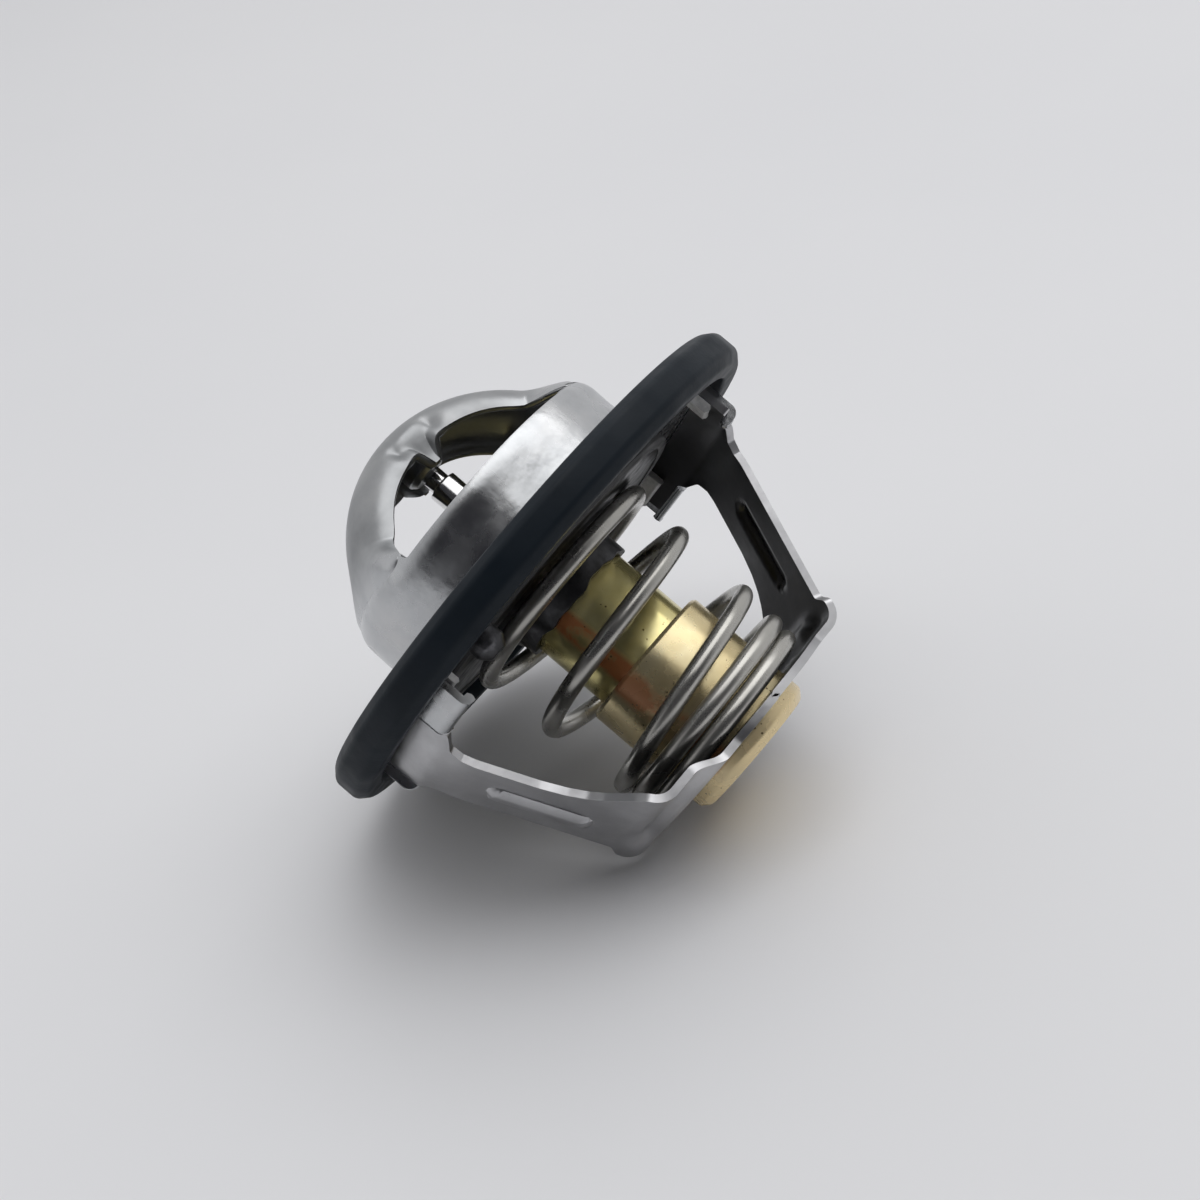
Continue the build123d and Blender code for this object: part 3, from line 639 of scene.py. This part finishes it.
def flared(s):
    """Half width on the flared side: the round seat, the wide foot and the waist of the leg."""
    z = np.where(s < s_low, np.interp(s, np.linspace(0, s_low, 300), path_shelf[:, 1]), CORNER_Z)
    z = np.where(s >= s_low, np.interp(s, s_up, upper_path[:, 1]), z)
    heights = [-23.2, -21.9, -20.9, -19.9, -18.9, -17.6, -16.0, -13.8]
    leg = np.interp(z, heights, [9.4, 9.1, 8.2, 7.1, 6.1, 5.2, 4.55, LEG_HALF])
    return np.where(s < 12.5, np.maximum(9.4, seat_edge(s)), leg)


def plain(s):
    """Half width on the other side: the round seat, a narrow corner and the straight leg."""
    slant_s, foot_half, corner = 6.94, 5.6, s_at(-22.3)
    foot = np.maximum(8.27 - 0.839 * (s - slant_s), foot_half)
    leg = LEG_HALF + (foot_half - LEG_HALF) * smooth((corner + 0.35 - s) / 0.9)
    return np.where(s < slant_s, seat_edge(s), np.where(s < corner - 1.5, foot, leg))


def even(edge):
    """The edge's width averaged over half a millimetre."""
    core = np.hanning(9) / np.hanning(9).sum()
    wide = np.convolve(np.pad(edge[:, 1], 4, mode="edge"), core, mode="valid")
    return np.stack([edge[:, 0], wide], 1)


NECK_Z, HEAD_HALF = -6.9, 10.7
run = np.linspace(0, s_at(NECK_Z), 260)
shoulder = [(-5.7, 4.75), (-4.9, 6.5), (-4.05, 6.95), (-3.9, 7.3), (-4.1, HEAD_HALF - 0.05)]
ear = rounded(
    [(s_at(z), half) for z, half in [(NECK_Z, LEG_HALF)] + shoulder] + [(S_END, HEAD_HALF), (S_END, 0)],
    [0, 0.8, 0.5, 0.15, 0.2, 0.25, 0.15, 0], closed=False)
wide_side = np.concatenate([even(np.stack([run, flared(run)], 1))[:-1], ear])
plain_side = np.concatenate([even(np.stack([run, plain(run)], 1))[:-1], ear])
right_half = np.concatenate([wide_side, (plain_side * (1, -1))[::-1][1:]])
loop = np.concatenate([right_half, -right_half])
moved = np.linalg.norm(np.diff(loop, axis=0), axis=1) > 1e-4
loop = resample(loop[np.concatenate([[True], moved])], 0.45, closed=True)
hole = HOLE_R * np.stack([np.cos(ROUND[::3]), np.sin(ROUND[::3])], 1)
lower = bent_sheet("bent_frame", loop, [hole], frame_bend, FRAME_SHEET, 0.34, steel_frame,
                   sharp=40, bevel=0.09)
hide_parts("lower_frame")

# ---------------------------------------------------------------- main spring
TURNS, REST, CLOSED = 4.85, 0.8, 2.1      # all turns, those at the disc, those closed at the plate
WIRE, PITCH = 0.93, 1.92                  # wire's radius, rise of a closed turn
SPRING_TOP, SPRING_LOW = -2.3, -23.3      # middles of the first and last turn
TOP_R, LOW_R, START = 11.4, 9.8, 278.0
LEAN, LEAN_TO = 0.8, 150.0                # the open turns lean down on one side
t = np.linspace(0, TURNS, 600)
open_turns = TURNS - REST - CLOSED
open_drop = SPRING_TOP - SPRING_LOW - REST * 0.8 - CLOSED * PITCH
share = np.clip((t - REST) / open_turns, 0, 1)
drop = np.minimum(t, REST) * 0.8 + share * open_drop + PITCH * np.maximum(t - REST - open_turns, 0)
kernel = np.hanning(41) / np.hanning(41).sum()
drop = np.convolve(np.pad(drop, 20, mode="edge"), kernel, mode="valid")
radius = TOP_R - (TOP_R - LOW_R) * t / TURNS
ang = np.radians(START - 360.0 * t)
drop = drop + LEAN * np.cos(ang - np.radians(LEAN_TO)) * np.sin(np.pi * share)
wire_line = np.stack([radius * np.cos(ang), radius * np.sin(ang), SPRING_TOP - drop], 1)
tangent = np.gradient(wire_line, axis=0)
tangent /= np.linalg.norm(tangent, axis=1, keepdims=True)
out_dir = np.stack([np.cos(ang), np.sin(ang), 0 * ang], 1)
out_dir -= tangent * np.sum(out_dir * tangent, 1, keepdims=True)
out_dir /= np.linalg.norm(out_dir, axis=1, keepdims=True)
up_dir = np.cross(tangent, out_dir)
ring = np.linspace(0, 2 * np.pi, 28, endpoint=False)[:, None]
tube = wire_line[:, None] + WIRE * (out_dir[:, None] * np.cos(ring) + up_dir[:, None] * np.sin(ring))
spring = loft("coil_spring", tube, steel_wire, wrap_u=False, body=None, sharp=50)
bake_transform(spring)
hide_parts("main_spring")

# ---------------------------------------------------------------- piston pin
PIN_R, TIP_R, PIN_TOP, PIN_LOW = 1.63, 1.12, 18.3, -23.4
pin_profile = rounded(
    [(0, PIN_LOW), (PIN_R, PIN_LOW), (PIN_R, 12.3), (TIP_R, 12.42), (TIP_R, PIN_TOP), (0, PIN_TOP)],
    [0, 0.3, 0.14, 0.1, 0.1, 0])
pin = lathe("piston", pin_profile, steel_pin, steps=64, sharp=40)
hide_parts("piston_pin")

# ---------------------------------------------------------------- valve
GUIDE_R = 5.85
BORE_R, NECK_R, NECK_LOW = GUIDE_R + 0.05, 6.6, -5.0
RIM_R, RIM_TOP, RIM_LOW = 16.7, -0.9, -1.3
disc_profile = rounded(
    [(BORE_R, -1.78), (9.3, -1.78), (10.1, RIM_TOP), (RIM_R, RIM_TOP), (RIM_R, RIM_LOW),
     (10.4, RIM_LOW), (9.2, -2.5), (7.2, -2.58), (NECK_R + 0.05, -3.0), (NECK_R, NECK_LOW),
     (BORE_R, NECK_LOW)],
    [0.2, 0.5, 0.5, 0.15, 0.15, 0.4, 0.5, 0.4, 0.2, 0.15, 0.1])


def neck_ripple(a, r, z):
    """The drawn end of the neck is torn a little: its edge rises and falls by 0.3."""
    end = smooth((-3.4 - z) / 1.6)
    wave = 0.16 * np.sin(4 * a + 1) + 0.1 * np.sin(9 * a) + 0.06 * np.sin(17 * a + 2)
    return r + 0.06 * end * np.sin(6 * a), z + end * wave


disc = lathe("dished_disc", disc_profile, steel_valve, steps=288, ripple=neck_ripple,
             body="valve", sharp=40)
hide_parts("valve_disc")
SEAL_IN, SEAL_OUT = 15.95, 17.35
seal_profile = rounded(
    [(SEAL_IN, -0.52), (RIM_R, -0.5), (SEAL_OUT - 0.05, -0.65), (SEAL_OUT, -1.2), (17.0, -1.46),
     (16.0, -1.44), (SEAL_IN, RIM_LOW - 0.02), (RIM_R + 0.02, RIM_LOW - 0.02),
     (RIM_R + 0.02, RIM_TOP + 0.02), (SEAL_IN, RIM_TOP + 0.02)], 0.1)
seal = lathe("seal_lip", seal_profile, rubber_black, steps=288, body="valve", sharp=45)
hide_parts("valve_seal")

# ---------------------------------------------------------------- wax element
GUIDE_TOP, RING_TOP, RING_LOW, RING_R = 1.38, -1.06, -1.76, 5.3
MOUTH_R, SLIDE_R, FLANGE_TOP, GUIDE_END = 2.85, 1.68, -13.75, -14.6
guide_profile = rounded(
    [(SLIDE_R, 1.36), (MOUTH_R, 1.36), (MOUTH_R, GUIDE_TOP), (5.5, GUIDE_TOP), (GUIDE_R, 1.05),
     (GUIDE_R, RING_TOP), (RING_R, RING_TOP), (RING_R, RING_LOW), (GUIDE_R, RING_LOW),
     (GUIDE_R, FLANGE_TOP), (6.4, FLANGE_TOP - 0.05), (6.4, GUIDE_END), (SLIDE_R, GUIDE_END)],
    [0.1, 0, 0, 0.12, 0.12, 0.06, 0.05, 0.05, 0.06, 0.05, 0.1, 0.1, 0.05])
guide = lathe("guide_barrel", guide_profile, brass_guide, steps=192, body="valve", sharp=40)
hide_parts("guide")
CUP_R, CUP_TOP, CUP_END, CUP_WALL_R = 7.35, -13.06, -27.1, 6.48
cup_profile = rounded(
    [(BORE_R, -13.72), (BORE_R, CUP_TOP - 0.08), (6.1, CUP_TOP), (7.0, CUP_TOP), (CUP_R, -13.4),
     (CUP_R, -26.3), (6.55, CUP_END), (3.2, CUP_END + 0.04), (2.4, -26.75), (0, -26.7), (0, -26.2),
     (CUP_WALL_R, -26.2), (CUP_WALL_R, -13.72)],
    [0, 0.05, 0.1, 0.18, 0.2, 0.7, 0.5, 0.3, 0.3, 0, 0, 0.3, 0])
cup = lathe("cup_shell", cup_profile, brass_cup, steps=192, body="valve", sharp=45)
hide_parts("wax_cup")

# ---------------------------------------------------------------- jiggle pin
JIGGLE_R, JIGGLE_TURN = 21.05, math.radians(40)
spot = (JIGGLE_R * math.cos(JIGGLE_TURN), JIGGLE_R * math.sin(JIGGLE_TURN))
head_profile = rounded(
    [(0, 1.18), (1.2, 1.15), (1.75, 0.85), (1.75, 0.5), (0.74, 0.5), (0.74, -1.5), (0, -1.5)],
    [0, 0.3, 0.15, 0.1, 0.1, 0, 0])
head = lathe("jiggle_stem", head_profile, steel_pin, steps=64, centre=spot,
             body="jiggle_valve", sharp=40)
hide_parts("jiggle_pin")
bob_profile = rounded(
    [(0, -1.47), (1.35, -1.47), (1.6, -1.75), (1.6, -2.9), (0.85, -3.83), (0, -3.84)],
    [0, 0.1, 0.1, 0.5, 0.3, 0])
weight = lathe("jiggle_bob", bob_profile, steel_valve, steps=64, centre=spot,
               body="jiggle_valve", sharp=40)
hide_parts("jiggle_weight")

# ---------------------------------------------------------------- pieces kept from CAD
for node, material in (("retaining_ring", steel_valve), ("wiper", rubber_black), ("boot", rubber_black),
                       ("backup_washer", washer_white), ("wax", wax_brown)):
    kept = frame["nodes"][node]
    kept.data.materials.clear()
    kept.data.materials.append(material)

# ---------------------------------------------------------------- stage, light and camera
UP = Vector((-0.2, 0.755, 0.62)).normalized()      # the floor's up, in the part's own frame
EYE = Vector((96.422, 181.29, -18.022)) * MM
AIM = Vector((-1.416, 0.355, -6.384)) * MM
ROLL = math.radians(-49.722)
LENS, SENSOR = 64.5753, 36.0


def lowest_point():
    """Least height along UP of any visible mesh, where the part lies on the floor."""
    least = []
    for obj in scene.objects:
        if obj.type == "MESH" and not obj.hide_render:
            flat = np.empty(3 * len(obj.data.vertices), np.float32)
            obj.data.vertices.foreach_get("co", flat)
            turned = np.array(obj.matrix_world)
            places = flat.reshape(-1, 3) @ turned[:3, :3].T + turned[:3, 3]
            least.append((places @ np.array(UP)).min())
    return float(min(least))


lowest = lowest_point()
toward = EYE - UP * EYE.dot(UP)
toward.normalize()
across = UP.cross(toward)
stand = Matrix((across, -toward, UP)).transposed()


def at(x, y, z):
    """A point x to the right, y away from the viewer and z above the floor, in millimetres."""
    return (stand @ Vector((x, y, z))) * MM + UP * lowest


def pale_paper():
    """Matt paper with faint mottling, clear from behind so that low views are not blocked."""
    paper = bpy.data.materials.new("pale_paper")
    paper.use_nodes = True
    tree = paper.node_tree
    shader = tree.nodes["Principled BSDF"]
    shader.inputs["Roughness"].default_value = 0.75
    shader.inputs["Specular IOR Level"].default_value = 0.25
    place = add(tree, "ShaderNodeTexCoord").outputs["Object"]
    tones = [(0.3, (0.765, 0.768, 0.785)), (0.7, (0.79, 0.792, 0.805))]
    shade = ramp(tree, tones, cloudy(tree, place, 9, 6))
    tree.links.new(shade, shader.inputs["Base Color"])
    behind = add(tree, "ShaderNodeNewGeometry").outputs["Backfacing"]
    clear = add(tree, "ShaderNodeBsdfTransparent").outputs["BSDF"]
    pick = add(tree, "ShaderNodeMixShader", {"Fac": behind, 1: shader.outputs["BSDF"], 2: clear})
    tree.links.new(pick.outputs["Shader"], tree.nodes["Material Output"].inputs["Surface"])
    return paper


FLOOR_HALF, FLOOR_GAP = 900, -0.02
signs = ((-1, -1), (1, -1), (1, 1), (-1, 1))
corners = [at(x * FLOOR_HALF, y * FLOOR_HALF, FLOOR_GAP) for x, y in signs]
floor_mesh = bpy.data.meshes.new("floor")
floor_mesh.from_pydata([tuple(c) for c in corners], [], [(0, 1, 2, 3)])
floor_mesh.materials.append(pale_paper())
floor = bpy.data.objects.new("floor", floor_mesh)
scene.collection.objects.link(floor)


def studio():
    """Light from all round that fades to near black on the viewer's side, behind a pale
    backdrop that only the camera sees."""
    world = bpy.data.worlds.new("studio")
    world.use_nodes = True
    tree = world.node_tree
    way = add(tree, "ShaderNodeTexCoord").outputs["Generated"]
    facing = dot_product(tree, way, tuple((toward * 0.93 + UP * 0.36).normalized()))
    tones = [(0.0, (0.72, 0.72, 0.73)), (0.38, (0.52, 0.52, 0.53)), (0.74, (0.035, 0.035, 0.04))]
    seen = add(tree, "ShaderNodeLightPath").outputs["Is Camera Ray"]
    colour = laid_over(tree, seen, ramp(tree, tones, facing), (0.66, 0.665, 0.68, 1))
    tree.links.new(colour, tree.nodes["Background"].inputs["Color"])
    return world


def softbox(name, place, size, watts, aim):
    """A rectangular lamp on the floor's own axes, turned towards a point."""
    data = bpy.data.lights.new(name, "AREA")
    data.shape = "RECTANGLE"
    data.size, data.size_y = size[0] * MM, size[1] * MM
    data.energy = watts
    lamp = bpy.data.objects.new(name, data)
    scene.collection.objects.link(lamp)
    lamp.location = at(*place)
    lamp.rotation_mode = "QUATERNION"
    lamp.rotation_quaternion = (at(*aim) - lamp.location).to_track_quat("-Z", "Y")


scene.world = studio()
softbox("overhead", (130, 50, 640), (900, 740), 2.75, (0, 0, 12))

cam_data = bpy.data.cameras.new("camera")
cam_data.sensor_width, cam_data.lens = SENSOR, LENS
cam_data.clip_start, cam_data.clip_end = 0.01, 10
camera = bpy.data.objects.new("camera", cam_data)
scene.collection.objects.link(camera)
camera.location = EYE
camera.rotation_mode = "QUATERNION"
camera.rotation_quaternion = (EYE - AIM).to_track_quat("Z", "Y") @ Quaternion((0, 0, 1), ROLL)
scene.camera = camera
scene.view_settings.view_transform = "Standard"
